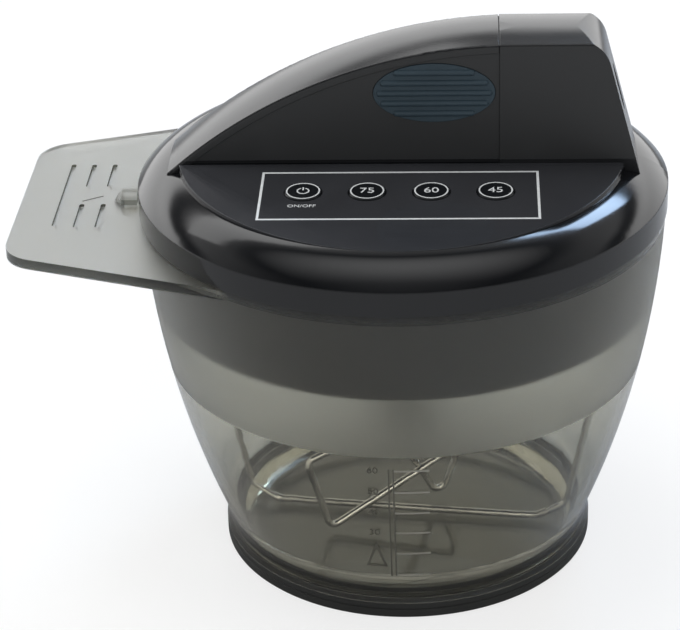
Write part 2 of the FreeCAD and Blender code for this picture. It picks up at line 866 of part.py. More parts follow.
def motor():
    can = motor_can(0, motor_height, motor_z)
    low = cylinder(motor_nose_r, motor_nose, motor_x, 0, motor_z - motor_nose)
    high = cylinder(motor_nose_r, motor_nose, motor_x, 0, motor_z + motor_height)
    bore = cylinder(motor_shaft_r + running_gap, motor_nose + 2 * wall, motor_x, 0, motor_z - motor_nose)
    return can.fuse([low, high]).cut(bore).removeSplitter()


def motor_shaft():
    low = wheel_z - gear_gap / 2
    return cylinder(motor_shaft_r, motor_z + wall - low, motor_x, 0, low)


def double_gear_pin():
    return cylinder(pin_r, motor_z - case_z, double_x, 0, case_z)


def lower_bush():
    top = head_floor_z + bush_flange
    sleeve = cylinder(bush_r, top - boss_tip_z - seal_height, 0, 0, boss_tip_z + seal_height)
    flange = cylinder(bush_flange_r, bush_flange, 0, 0, head_floor_z)
    bore = cylinder(shaft_r + running_gap, top, 0, 0, 0)
    return sleeve.fuse(flange).cut(bore).removeSplitter()


def upper_bush():
    sleeve = cylinder(bush_r, case_cover, 0, 0, cover_z)
    flange = cylinder(bush_flange_r, bush_flange, 0, 0, motor_z)
    bore = cylinder(shaft_r + running_gap, motor_z, 0, 0, cover_z)
    return sleeve.fuse(flange).cut(bore).removeSplitter()


def shaft_seal():
    ring = cylinder(seal_r, seal_height, 0, 0, boss_tip_z)
    return ring.cut(cylinder(shaft_r + seal_lip, seal_height, 0, 0, boss_tip_z))


def shaft_clip():
    ring = cylinder(clip_r, clip_wall, 0, 0, motor_z + bush_flange + seat_gap)
    return ring.cut(cylinder(shaft_r, shaft_end, 0, 0, motor_z + bush_flange))


def drive_shaft():
    top = motor_z + bush_flange + shaft_end
    return cylinder(shaft_r, top - hub_low - wall, 0, 0, hub_low + wall)


def in_plane(turn, s, z, across=0.0):
    """Point at distance s from the axis in an upright plane turned about Z."""
    c = math.cos(math.radians(turn))
    n = math.sin(math.radians(turn))
    return V(s * c - across * n, s * n + across * c, z)


def scraper_wire():
    half = [
        (wall_r(frame_arm_z, bowl_wall) - frame_arm_gap, frame_arm_z),
        (wall_r(waist_z, bowl_wall) - frame_knee_gap, frame_knee_z),
        (wall_r(waist_z, bowl_wall) - frame_foot_gap, wire_low_z),
    ]
    points = [(in_plane(frame_turn, shaft_r + running_gap, frame_arm_z), 0.0)]
    points += [(in_plane(frame_turn, s, z), frame_bend_r) for s, z in half]
    points += [(in_plane(frame_turn, -s, z), frame_bend_r) for s, z in reversed(half)]
    points.append((in_plane(frame_turn, -shaft_r - running_gap, frame_arm_z), 0.0))
    return rod(points)


def beater_wire():
    corners = [
        (-beater_root, hub_low + beater_root_sink, beater_cross),
        (-beater_root, beater_fork_z, beater_cross),
        (beater_right, wire_low_z, beater_cross),
        (beater_right_top, beater_right_top_z, 0.0),
        (-beater_left, wire_low_z, -beater_cross),
        (-beater_left_top, beater_left_top_z, -beater_cross),
        (-beater_root, beater_return_z, -beater_cross),
        (-beater_root, hub_low + beater_root_sink, -beater_cross),
    ]
    return rod([(in_plane(beater_turn, s, z, across), beater_bend_r) for s, z, across in corners])


def stirrer_hub(wires):
    body = turned(
        (0, hub_low),
        (hub_tip_r, hub_low),
        (hub_r, hub_low + hub_tip_height, hub_tip_swell_r, hub_low + hub_tip_swell),
        (hub_r, hub_top - hub_top_edge),
        (hub_r - hub_top_edge, hub_top),
        (0, hub_top),
    )
    return body.cut([drive_shaft()] + wires)


def battery_cell():
    can = cylinder(cell_r, cell_height, cell_x, 0, head_floor_z + cradle_wall)
    cap = cylinder(cell_button_r, cell_button, cell_x, 0, head_floor_z + cradle_wall + cell_height)
    return can.fuse(cap)


def battery_cradle():
    inner_r = cell_r + seat_gap
    cup = cylinder(inner_r + cradle_wall, cradle_height, cell_x, 0, head_floor_z)
    hollow = cylinder(inner_r, cradle_height, cell_x, 0, head_floor_z + cradle_wall)
    half = inner_r / 2
    low = head_floor_z + 3 * cradle_wall
    gap = block(cell_x - half, cell_x + half, -2 * inner_r, 2 * inner_r, low, seam_z)
    return cup.cut([hollow, gap])


button_names = ("power_button", "button_75", "button_60", "button_45")
scraper = scraper_wire()
beater = beater_wire()

save("bowl", bowl())
save("foot_ring", foot_ring())
save("lower_housing", lower_housing())
save("upper_housing", upper_housing())
save("front_panel", panel(-1))
save("rear_panel", panel(1))
save("spine_cover", spine_cover())
save("rear_cover", rear_cover())
save("front_grip", grip(-1))
save("rear_grip", grip(1))
for index, name in enumerate(button_names):
    save(name, button(index))
save("control_board", control_board())
save("key_switches", key_switches())
save("board_screws", board_screws())
save("housing_screws", housing_screws())
save("gearbox_case", gearbox_case())
save("gearbox_cover", gearbox_cover())
save("case_screws", case_screws())
save("double_gear_pin", double_gear_pin())
save("double_gear", double_gear())
save("output_gear", output_gear())
save("motor_pinion", motor_pinion())
save("motor_shaft", motor_shaft())
save("motor", motor())
save("lower_bush", lower_bush())
save("upper_bush", upper_bush())
save("shaft_seal", shaft_seal())
save("drive_shaft", drive_shaft())
save("shaft_clip", shaft_clip())
save("scraper_wire", scraper)
save("beater_wire", beater)
save("stirrer_hub", stirrer_hub([scraper, beater]))
save("battery_cell", battery_cell())
save("battery_cradle", battery_cradle())
save("charging_socket", charging_socket())
save("charge_board", charge_board())
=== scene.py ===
import json
import math

import bpy
from mathutils import Matrix, Vector


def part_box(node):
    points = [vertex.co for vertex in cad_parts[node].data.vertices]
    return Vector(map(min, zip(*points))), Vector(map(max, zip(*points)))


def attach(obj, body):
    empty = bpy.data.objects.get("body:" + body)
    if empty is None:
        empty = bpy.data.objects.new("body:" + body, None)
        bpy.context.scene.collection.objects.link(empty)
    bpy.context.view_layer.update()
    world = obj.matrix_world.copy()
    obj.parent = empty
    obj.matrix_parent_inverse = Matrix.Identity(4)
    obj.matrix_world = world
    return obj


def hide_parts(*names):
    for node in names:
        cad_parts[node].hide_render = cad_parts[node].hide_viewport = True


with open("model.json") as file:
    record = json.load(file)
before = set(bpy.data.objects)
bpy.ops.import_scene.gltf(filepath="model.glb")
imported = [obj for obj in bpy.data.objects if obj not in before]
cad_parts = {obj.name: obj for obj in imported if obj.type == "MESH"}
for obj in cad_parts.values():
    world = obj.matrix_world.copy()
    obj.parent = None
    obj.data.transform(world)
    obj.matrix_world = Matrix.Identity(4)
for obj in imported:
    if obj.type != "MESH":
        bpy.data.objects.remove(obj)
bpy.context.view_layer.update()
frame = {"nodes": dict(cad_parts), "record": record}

nodes = frame["nodes"]
mm = 0.001
bpy.ops.object.select_all(action="DESELECT")


# colours and nodes. Sizes in the dictionaries are in millimetres, unless a note says otherwise

def toLinear(hexColour):
    # sRGB hex as picked from a swatch, turned to the linear values that the shaders want
    channels = [int(hexColour[i:i + 2], 16) / 255 for i in (1, 3, 5)]
    return tuple(c / 12.92 if c <= 0.04045 else ((c + 0.055) / 1.055) ** 2.4 for c in channels) + (1.0,)


def toned(colour, factor):
    return tuple(c * factor for c in colour[:3]) + (1.0,)


def addNode(material, kind, settings=None, sockets=None, links=()):
    # links are (input, node, output). A socket goes by its name, or by its number where the name isn't its own
    node = material.node_tree.nodes.new(kind)
    for name, value in (settings or {}).items():
        setattr(node, name, value)
    for name, value in (sockets or {}).items():
        node.inputs[name].default_value = value
    for name, source, output in links:
        material.node_tree.links.new(source.outputs[output], node.inputs[name])
    return node


def newMaterial(name):
    material = bpy.data.materials.new(name)
    material.use_nodes = True
    material.node_tree.nodes.clear()
    return material


def finishMaterial(material, shader):
    addNode(material, "ShaderNodeOutputMaterial", links=[("Surface", shader, "BSDF")])
    return material


# cloud and wipe are how wide the soft patches are in its colour and in its shine, and tone how far the colour goes
plastic = {"ior": 1.5, "tone": 0.12, "cloud": 26.3, "cloudFrom": 0.3, "cloudTo": 0.7, "wipe": 10.53,
           "edge": 0.35, "grainHeight": 0.1}


def mouldedPlastic(name, colour, roughness, grain, grainStrength, roughSpread=0.04, satin=None):
    # moulded plastic: one even colour, a faint cloudiness from the melt, a skin that copies the tool's grain
    # and edges with the small radius that every mould has, which draws a fine bright line along them
    material = newMaterial(name)
    place = addNode(material, "ShaderNodeTexCoord")
    cloud = addNode(material, "ShaderNodeTexNoise", sockets={"Scale": 1 / (plastic["cloud"] * mm), "Detail": 3.0},
                    links=[("Vector", place, "Object")])
    colours = addNode(material, "ShaderNodeValToRGB", links=[("Fac", cloud, "Fac")])
    darker, lighter = colours.color_ramp.elements
    darker.position, lighter.position = plastic["cloudFrom"], plastic["cloudTo"]
    darker.color = toned(toLinear(colour), 1 - plastic["tone"])
    lighter.color = toned(toLinear(colour), 1 + plastic["tone"])
    wipes = addNode(material, "ShaderNodeTexNoise", sockets={"Scale": 1 / (plastic["wipe"] * mm), "Detail": 5.0},
                    links=[("Vector", place, "Object")])
    rough = addNode(material, "ShaderNodeMapRange",
                    sockets={"To Min": max(roughness - roughSpread, 0.01), "To Max": roughness + roughSpread},
                    links=[("Value", wipes, "Fac")])
    skin = addNode(material, "ShaderNodeTexNoise", sockets={"Scale": 1 / (grain * mm), "Detail": 2.0},
                   links=[("Vector", place, "Object")])
    edge = addNode(material, "ShaderNodeBevel", {"samples": 4}, sockets={"Radius": plastic["edge"] * mm})
    bump = addNode(material, "ShaderNodeBump",
                   sockets={"Strength": grainStrength, "Distance": plastic["grainHeight"] * mm},
                   links=[("Height", skin, "Fac"), ("Normal", edge, "Normal")])
    colourFrom, roughFrom = (colours, "Color"), (rough, "Result")
    if satin:
        # the upright sides of the fin are spark-eroded to a satin, where the rest of the moulding is polished
        facing = addNode(material, "ShaderNodeNewGeometry")
        facingAxes = addNode(material, "ShaderNodeSeparateXYZ", links=[("Vector", facing, "Normal")])
        sideways = addNode(material, "ShaderNodeMath", {"operation": "ABSOLUTE"}, links=[(0, facingAxes, "Y")])
        side = addNode(material, "ShaderNodeMapRange",
                       sockets={"From Min": satin["turnedFrom"], "From Max": satin["turnedTo"]},
                       links=[("Value", sideways, "Value")])
        placeAxes = addNode(material, "ShaderNodeSeparateXYZ", links=[("Vector", place, "Object")])
        above = addNode(material, "ShaderNodeMath", {"operation": "GREATER_THAN"}, {1: satin["above"] * mm},
                        [(0, placeAxes, "Z")])
        eroded = addNode(material, "ShaderNodeMath", {"operation": "MULTIPLY"},
                         links=[(0, side, "Result"), (1, above, "Value")])
        satinColours = addNode(material, "ShaderNodeMix", {"data_type": "RGBA"}, {7: toLinear(satin["colour"])},
                               [("Factor", eroded, "Value"), (6, colours, "Color")])
        satinRough = addNode(material, "ShaderNodeMix", {"data_type": "FLOAT"}, {"B": satin["roughness"]},
                             [("Factor", eroded, "Value"), ("A", rough, "Result")])
        colourFrom, roughFrom = (satinColours, 2), (satinRough, "Result")
    shader = addNode(material, "ShaderNodeBsdfPrincipled", sockets={"IOR": plastic["ior"]},
                     links=[("Base Color", *colourFrom), ("Roughness", *roughFrom), ("Normal", bump, "Normal")])
    return finishMaterial(material, shader)


metal = {"shade": 0.86, "smoother": 0.7, "rougher": 1.4, "streakStrength": 0.15, "streakHeight": 0.05}


def drawnMetal(name, colour, roughness, streak, stretch=(1, 1, 1)):
    # drawn or turned metal: fine streaks along the way the tool went
    material = newMaterial(name)
    place = addNode(material, "ShaderNodeTexCoord")
    turn = addNode(material, "ShaderNodeMapping", sockets={"Scale": stretch}, links=[("Vector", place, "Object")])
    streaks = addNode(material, "ShaderNodeTexNoise", sockets={"Scale": 1 / (streak * mm), "Detail": 3.0},
                      links=[("Vector", turn, "Vector")])
    colours = addNode(material, "ShaderNodeValToRGB", links=[("Fac", streaks, "Fac")])
    colours.color_ramp.elements[0].color = toned(toLinear(colour), metal["shade"])
    colours.color_ramp.elements[1].color = toLinear(colour)
    rough = addNode(material, "ShaderNodeMapRange",
                    sockets={"To Min": roughness * metal["smoother"], "To Max": roughness * metal["rougher"]},
                    links=[("Value", streaks, "Fac")])
    bump = addNode(material, "ShaderNodeBump",
                   sockets={"Strength": metal["streakStrength"], "Distance": metal["streakHeight"] * mm},
                   links=[("Height", streaks, "Fac")])
    shader = addNode(material, "ShaderNodeBsdfPrincipled", sockets={"Metallic": 1.0},
                     links=[("Base Color", colours, "Color"), ("Roughness", rough, "Result"),
                            ("Normal", bump, "Normal")])
    return finishMaterial(material, shader)


# through is the share of light that a wall of that thickness lets through. The spark is the grain of the frost,
# which is drawn coarser than the real one so that it shows
# the edge colour is a painted shade on the cut edges of the rim and the handle
# the rim and handle plate get a colour painted paler than the wall's, a painted brightness
smoke = {"tint": "#c3c2b8", "wall": 2.6, "through": 0.86, "ior": 1.49,
         "fillLine": 66.3, "fade": 0.15, "frostRough": 0.36, "clearRough": 0.03, "unevenFrom": 0.82, "unevenTo": 1.12,
         "cloud": 16.67, "spark": 0.5, "sparkStrength": 0.2, "sparkHeight": 0.1,
         "rimLow": 112.4, "uprightBelow": 0.6, "plate": "#fdfefc", "wallBelowRim": "#f5f4ec", "edge": "#8c8d87"}


def smokedPolystyrene():
    # smoke-tinted clear plastic: polished below the fill line, spark-eroded to a frost above it and on the handle.
    # The tint is in the plastic, so thick edges and the foot look darker than the wall
    material = newMaterial("smokedPolystyrene")
    place = addNode(material, "ShaderNodeTexCoord")
    axes = addNode(material, "ShaderNodeSeparateXYZ", links=[("Vector", place, "Object")])
    height = addNode(material, "ShaderNodeMapRange",
                     sockets={"From Min": (smoke["fillLine"] - smoke["fade"]) * mm,
                              "From Max": (smoke["fillLine"] + smoke["fade"]) * mm},
                     links=[("Value", axes, "Z")])
    cloud = addNode(material, "ShaderNodeTexNoise", sockets={"Scale": 1 / (smoke["cloud"] * mm), "Detail": 4.0},
                    links=[("Vector", place, "Object")])
    spread = addNode(material, "ShaderNodeMapRange",
                     sockets={"To Min": smoke["unevenFrom"], "To Max": smoke["unevenTo"]},
                     links=[("Value", cloud, "Fac")])
    # the cut edge of the rim and of the handle is polished, and it is given a darker colour as painted shade for the
    # dark look of the plastic seen edge-on through its whole depth
    facing = addNode(material, "ShaderNodeNewGeometry")
    facingAxes = addNode(material, "ShaderNodeSeparateXYZ", links=[("Vector", facing, "True Normal")])
    slope = addNode(material, "ShaderNodeMath", {"operation": "ABSOLUTE"}, links=[(0, facingAxes, "Z")])
    upright = addNode(material, "ShaderNodeMath", {"operation": "LESS_THAN"}, {1: smoke["uprightBelow"]},
                      [(0, slope, "Value")])
    onRim = addNode(material, "ShaderNodeMath", {"operation": "GREATER_THAN"}, {1: smoke["rimLow"] * mm},
                    [(0, axes, "Z")])
    cutEdge = addNode(material, "ShaderNodeMath", {"operation": "MULTIPLY"},
                      links=[(0, upright, "Value"), (1, onRim, "Value")])
    frosted = addNode(material, "ShaderNodeMath", {"operation": "SUBTRACT", "use_clamp": True},
                      links=[(0, height, "Result"), (1, cutEdge, "Value")])
    rough = addNode(material, "ShaderNodeMapRange",
                    sockets={"To Min": smoke["clearRough"], "To Max": smoke["frostRough"]},
                    links=[("Value", frosted, "Value")])
    uneven = addNode(material, "ShaderNodeMath", {"operation": "MULTIPLY"},
                     links=[(0, rough, "Result"), (1, spread, "Result")])
    spark = addNode(material, "ShaderNodeTexNoise", sockets={"Scale": 1 / (smoke["spark"] * mm), "Detail": 2.0},
                    links=[("Vector", place, "Object")])
    depth = addNode(material, "ShaderNodeMath", {"operation": "MULTIPLY"},
                    links=[(0, spark, "Fac"), (1, height, "Result")])
    bump = addNode(material, "ShaderNodeBump",
                   sockets={"Strength": smoke["sparkStrength"], "Distance": smoke["sparkHeight"] * mm},
                   links=[("Height", depth, "Value")])
    # painted brightness: above the rim's lower edge the same plastic gets a paler colour than the wall
    skin = addNode(material, "ShaderNodeMix", {"data_type": "RGBA"},
                   {6: toLinear(smoke["wallBelowRim"]), 7: toLinear(smoke["plate"])}, [("Factor", onRim, "Value")])
    # painted shade: the upright cut edges of the rim and handle take the darker edge colour
    colours = addNode(material, "ShaderNodeMix", {"data_type": "RGBA"}, {7: toLinear(smoke["edge"])},
                      [("Factor", cutEdge, "Value"), (6, skin, 2)])
    shader = addNode(material, "ShaderNodeBsdfPrincipled", sockets={"IOR": smoke["ior"], "Transmission Weight": 1.0},
                     links=[("Base Color", colours, 2), ("Roughness", uneven, "Value"), ("Normal", bump, "Normal")])
    tint = toLinear(smoke["tint"])
    soaked = 1 - sum(tint[:3]) / 3
    soak = addNode(material, "ShaderNodeVolumeAbsorption",
                   sockets={"Color": tint, "Density": -math.log(smoke["through"]) / (smoke["wall"] * mm * soaked)})
    addNode(material, "ShaderNodeOutputMaterial", links=[("Surface", shader, "BSDF"), ("Volume", soak, "Volume")])
    return material


# its frost too is drawn coarser than the real one
relief = {"spark": 0.4, "through": 0.55, "roughness": 0.35}


def mouldedRelief(name, shade, highlight):
    # the bowl's plastic, frosted on its raised face, with a light or dark colour that paints light on a mark: a
    # painted highlight on the ticks, painted shade on the rule, the numbers, the level mark and the handle line
    material = newMaterial(name)
    place = addNode(material, "ShaderNodeTexCoord")
    spark = addNode(material, "ShaderNodeTexNoise", sockets={"Scale": 1 / (relief["spark"] * mm), "Detail": 2.0},
                    links=[("Vector", place, "Object")])
    colours = addNode(material, "ShaderNodeValToRGB", links=[("Fac", spark, "Fac")])
    colours.color_ramp.elements[0].color = toLinear(shade)
    colours.color_ramp.elements[1].color = toLinear(highlight)
    shader = addNode(material, "ShaderNodeBsdfPrincipled",
                     sockets={"IOR": smoke["ior"], "Transmission Weight": relief["through"],
                              "Roughness": relief["roughness"]},
                     links=[("Base Color", colours, "Color")])
    return finishMaterial(material, shader)


inkCover = {"speck": 1.111, "thin": "#b9bcbd", "full": "#dcdfe0", "roughness": 0.45}


def printedInk():
    # pad-printed white ink: slightly uneven cover, matt beside the gloss under it
    material = newMaterial("printedInk")
    place = addNode(material, "ShaderNodeTexCoord")
    cover = addNode(material, "ShaderNodeTexNoise", sockets={"Scale": 1 / (inkCover["speck"] * mm), "Detail": 2.0},
                    links=[("Vector", place, "Object")])
    colours = addNode(material, "ShaderNodeValToRGB", links=[("Fac", cover, "Fac")])
    colours.color_ramp.elements[0].color = toLinear(inkCover["thin"])
    colours.color_ramp.elements[1].color = toLinear(inkCover["full"])
    shader = addNode(material, "ShaderNodeBsdfPrincipled", sockets={"Roughness": inkCover["roughness"]},
                     links=[("Base Color", colours, "Color")])
    return finishMaterial(material, shader)


# satin starts where a face is turned this far sideways, as a share of fully sideways
finSides = {"above": 133.6, "turnedFrom": 0.75, "turnedTo": 0.95, "colour": "#292a2b", "roughness": 0.4}
finishes = {
    "smoke_clear": smokedPolystyrene(),
    # soft rubber from a blasted mould: nearly black, dull, with a fine tooth
    "grey_rubber": mouldedPlastic("footRubber", "#242524", 0.62, 0.35, 0.3, roughSpread=0.08),
    # ABS from polished steel moulds: deep gloss with a slight long ripple, no grain
    "black_gloss": mouldedPlastic("polishedBlackAbs", "#101113", 0.11, 9.0, 0.05, roughSpread=0.03, satin=finSides),
    "panel_black": mouldedPlastic("polishedPanelAbs", "#2f3033", 0.1, 9.0, 0.04, roughSpread=0.03),
    "spine_gloss": mouldedPlastic("polishedSpineAbs", "#151618", 0.2, 8.0, 0.04, satin=finSides),
    # blue-grey soft grip: matt beside the gloss, with a fine sandy grain
    "grip_rubber": mouldedPlastic("gripRubber", "#2b3a43", 0.55, 0.3, 0.35, roughSpread=0.07),
    "button_black": mouldedPlastic("keyPlastic", "#101215", 0.3, 0.6, 0.15),        # half gloss
    "wire_steel": drawnMetal("polishedStainlessWire", "#cfcdc8", 0.14, 0.6),        # bright, faintly drawn
    "screw_steel": drawnMetal("turnedSteel", "#b9b9b9", 0.3, 0.4),        # fine marks of the tool
    "motor_steel": drawnMetal("platedMotorSteel", "#a9adb2", 0.32, 0.8, stretch=(1, 1, 8)),        # streaked round
    "gear_white": mouldedPlastic("naturalAcetal", "#d8d4c4", 0.42, 0.5, 0.12),        # waxy off-white
    "bronze": drawnMetal("sinteredBronze", "#a67c45", 0.45, 0.3),        # dull and open-grained
    "board_green": mouldedPlastic("solderResist", "#1d5a35", 0.35, 1.2, 0.12),        # thin uneven lacquer
    "switch_black": mouldedPlastic("mattBlackNylon", "#1a1a1b", 0.5, 0.4, 0.2),        # dry and matt
    "cell_wrap": mouldedPlastic("shrinkWrap", "#2e5f96", 0.28, 2.5, 0.1),        # shiny film, a little puckered
}
ink = printedInk()
# painted highlight for the scale's ticks, painted shade for its rule, numbers and level mark and for the handle line
paintedHighlightRelief = mouldedRelief("highlightPaintedRelief", "#8f8d84", "#b4b2a8")
paintedShadeRelief = mouldedRelief("paintedShadeRelief", "#55534a", "#6d6b61")
slots = {part["node"]: part["material_slot"] for part in frame["record"]["subparts"]}
for name, obj in nodes.items():
    obj.data.materials.clear()
    obj.data.materials.append(finishes[slots[name]])
print("materials done")


# shared ways of making a piece

def applyPlace():
    bpy.ops.object.transform_apply(location=True, rotation=True, scale=True)


def editAll():
    bpy.ops.object.mode_set(mode="EDIT")
    bpy.ops.mesh.select_all(action="SELECT")


def leaveEdit():
    bpy.ops.object.mode_set(mode="OBJECT")


def nameIt(name, material, body):
    # the primitive or text that was just added becomes a finished piece of the model
    piece = bpy.context.object
    piece.name = name
    applyPlace()
    piece.data.materials.clear()
    piece.data.materials.append(material)
    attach(piece, body)
    return piece


def solidify(piece, thickness):
    modifier = piece.modifiers.new("thickness", "SOLIDIFY")
    modifier.thickness = thickness * mm
    modifier.offset = 1.0        # grows off the surface that it lies on
    bpy.context.view_layer.objects.active = piece
    bpy.ops.object.modifier_apply(modifier=modifier.name)


def flatPlate(xFrom, xTo, yFrom, yTo, z=0.0):
    bpy.ops.mesh.primitive_plane_add(size=1, location=((xFrom + xTo) / 2 * mm, (yFrom + yTo) / 2 * mm, z * mm))
    bpy.ops.transform.resize(value=((xTo - xFrom) * mm, (yTo - yFrom) * mm, 1))
    applyPlace()


def flatDisc(sides, radius, x, y, z=0.0, stretch=(1, 1)):
    bpy.ops.mesh.primitive_circle_add(vertices=sides, radius=radius * mm, fill_type="NGON",
                                      location=(x * mm, y * mm, z * mm))
    bpy.ops.transform.resize(value=(*stretch, 1))
    applyPlace()


def pressOut(lineWidth):
    # a flat plate or disc becomes a narrow frame or ring: its face is inset, and what is left inside is deleted
    editAll()
    bpy.ops.mesh.inset(thickness=lineWidth * mm, use_even_offset=True)
    bpy.ops.mesh.delete(type="FACE")
    leaveEdit()


def writeText(words, size, x, y, z=0.0):
    bpy.ops.object.text_add(location=(x * mm, y * mm, z * mm))
    text = bpy.context.object.data
    text.body = words
    text.size = size * mm
    text.align_x = text.align_y = "CENTER"
    bpy.ops.object.convert(target="MESH")


# lap joint: the rear cover's edge runs on as a thin dark tongue under the spine cover, which closes the seam to light
lapTongue = {"seam": 29.5, "gap": 0.3, "length": 2.4, "forward": 1.5, "sunk": 0.6, "merge": 0.002}
bpy.ops.object.select_all(action="DESELECT")
nodes["rear_cover"].select_set(True)
bpy.context.view_layer.objects.active = nodes["rear_cover"]
bpy.ops.object.duplicate()
editAll()
bpy.ops.mesh.remove_doubles(threshold=lapTongue["merge"] * mm)
coverEdge = lapTongue["seam"] + lapTongue["gap"]
for place, keepsBehind in ((coverEdge, True), (coverEdge + lapTongue["length"], False)):        # cuts out the strip
    bpy.ops.mesh.select_all(action="SELECT")
    bpy.ops.mesh.bisect(plane_co=(place * mm, 0, 0), plane_no=(1, 0, 0), use_fill=True,
                        clear_inner=keepsBehind, clear_outer=not keepsBehind)
bpy.ops.mesh.select_all(action="SELECT")
bpy.ops.mesh.normals_make_consistent(inside=False)
bpy.ops.transform.shrink_fatten(value=-lapTongue["sunk"] * mm, use_even_offset=True)
bpy.ops.transform.translate(value=(-lapTongue["forward"] * mm, 0, 0))
leaveEdit()
nameIt("lap_tongue", finishes["switch_black"], "head")
print("lap tongue done")


# rubber foot ring: turned section with a groove round its side and a lip that beds a hair into the bowl's seat
footRing = {"outer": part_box("foot_ring")[1][0] / mm, "width": 3.9, "height": 5.53, "corner": 0.8, "edge": 0.12,
            "grooveLow": 3.1, "grooveTop": 3.7, "grooveDepth": 0.3, "grooveSlope": 0.15, "sides": 256,
            "merge": 0.001, "smoothBelow": 25}        # smooth below that angle in degrees
outer, inner = footRing["outer"], footRing["outer"] - footRing["width"]
grooved, softened = outer - footRing["grooveDepth"], outer - footRing["edge"]
radius, height = outer - footRing["corner"], 0.0
turnedSteps = ((outer, footRing["corner"]),
               (outer, footRing["grooveLow"]),
               (grooved, footRing["grooveLow"] + footRing["grooveSlope"]),
               (grooved, footRing["grooveTop"] - footRing["grooveSlope"]),
               (outer, footRing["grooveTop"]),
               (outer, footRing["height"] - footRing["edge"]),
               (softened, footRing["height"]),
               (inner, footRing["height"]),
               (inner, height),
               (radius, height))
bpy.ops.mesh.primitive_circle_add(vertices=footRing["sides"], radius=radius * mm)
editAll()
for nextRadius, nextHeight in turnedSteps:
    bpy.ops.mesh.extrude_region_move(TRANSFORM_OT_translate={"value": (0, 0, (nextHeight - height) * mm)})
    bpy.ops.transform.resize(value=(nextRadius / radius, nextRadius / radius, 1), center_override=(0, 0, 0))
    radius, height = nextRadius, nextHeight
bpy.ops.mesh.select_all(action="SELECT")
bpy.ops.mesh.remove_doubles(threshold=footRing["merge"] * mm)
bpy.ops.mesh.normals_make_consistent(inside=False)
leaveEdit()
nameIt("foot_ring_rubber", finishes["grey_rubber"], "bowl")
bpy.ops.object.shade_smooth_by_angle(angle=math.radians(footRing["smoothBelow"]))
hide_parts("foot_ring")
print("foot ring done")


# handle plate: each slot has a floor that stops short of its near end, which leaves a drip hole, and a raised line
# runs between the slots. A slot is its place in x and its two ends in y
handle = {"top": 115.3, "slots": ((-105.0, -19.5, 26.0), (-98.4, -20.6, -4.0), (-98.4, 9.0, 25.8),
                                  (-91.8, -20.6, -4.0), (-91.8, 9.0, 25.8)),
          "slotWidth": 1.4, "floorLow": 113.2, "floorHigh": 114.5, "hole": 1.7, "clear": 0.1, "soft": 0.2,
          "lineFrom": (-98.6, -1.9), "lineTo": (-92.6, 1.7), "lineWidth": 0.45, "lineRaise": 0.12, "lineSoft": 0.03}


def softBlock(name, material, centre, size, turn, soft):
    bpy.ops.mesh.primitive_cube_add(size=1, location=[c * mm for c in centre], rotation=(0, 0, turn),
                                    scale=[c * mm for c in size])
    applyPlace()
    editAll()
    bpy.ops.mesh.bevel(offset=soft * mm, segments=2)
    leaveEdit()
    nameIt(name, material, "bowl")


floorMiddle, floorDepth = (handle["floorLow"] + handle["floorHigh"]) / 2, handle["floorHigh"] - handle["floorLow"]
for index, (x, near, far) in enumerate(handle["slots"]):
    low, high = near + handle["hole"], far - handle["clear"]
    softBlock(f"slot_floor_{index + 1}", finishes["smoke_clear"], (x, (low + high) / 2, floorMiddle),
              (handle["slotWidth"], high - low, floorDepth), 0, handle["soft"])
(lineX, lineY), (lineEndX, lineEndY) = handle["lineFrom"], handle["lineTo"]
softBlock("handle_line", paintedShadeRelief,
          ((lineX + lineEndX) / 2, (lineY + lineEndY) / 2, handle["top"] + handle["lineRaise"] / 2),
          (math.hypot(lineEndX - lineX, lineEndY - lineY), handle["lineWidth"], handle["lineRaise"]),
          math.atan2(lineEndY - lineY, lineEndX - lineX), handle["lineSoft"])
print("handle details done")


# print on the control panel: a thin frame, and a ring and a number or a sign on each key. The fall is the slope in
# degrees, and proud is how far a key's top stands above the panel
panel = {"ridge": 133.1, "fall": 2.8, "frame": (-41.0, 41.0, -49.0, -18.8), "frameLine": 0.75, "ink": 0.05,
         "keys": (("power_button", None), ("button_75", "75"), ("button_60", "60"), ("button_45", "45")),
         "pitch": 18.8, "row": -31.8, "proud": 0.5, "ringR": 5.0, "ringLine": 0.42, "ringSides": 96,
         "numberSize": 4.6, "signR": 1.9, "signLine": 0.4, "signSides": 48, "gapHalf": 0.75, "gapAbove": 1.2,
         "barWidth": 0.42, "barLength": 1.9, "barUp": 1.35, "wordSize": 2.3, "wordBelow": 8.6}


def printOn(name, body):
    # what is drawn flat at the ridge's height gets the ink's thickness and is turned onto the front slope of the roof
    piece = nameIt(name, ink, body)
    solidify(piece, panel["ink"])
    lift = Matrix.Translation((0, 0, panel["ridge"] * mm))
    piece.data.transform(lift @ Matrix.Rotation(math.radians(panel["fall"]), 4, "X") @ lift.inverted())


def openRing(x, y):
    # takes the faces out of the ring's far side, where the bar of the on/off sign stands
    bpy.ops.object.mode_set(mode="EDIT")
    bpy.ops.mesh.select_mode(type="FACE")
    bpy.ops.mesh.select_all(action="DESELECT")
    leaveEdit()
    for face in bpy.context.object.data.polygons:
        aside, up = face.center.x / mm - x, face.center.y / mm - y
        face.select = up > panel["gapAbove"] and abs(aside) < panel["gapHalf"]
    bpy.ops.object.mode_set(mode="EDIT")
    bpy.ops.mesh.delete(type="FACE")
    bpy.ops.mesh.select_mode(type="VERT")
    leaveEdit()


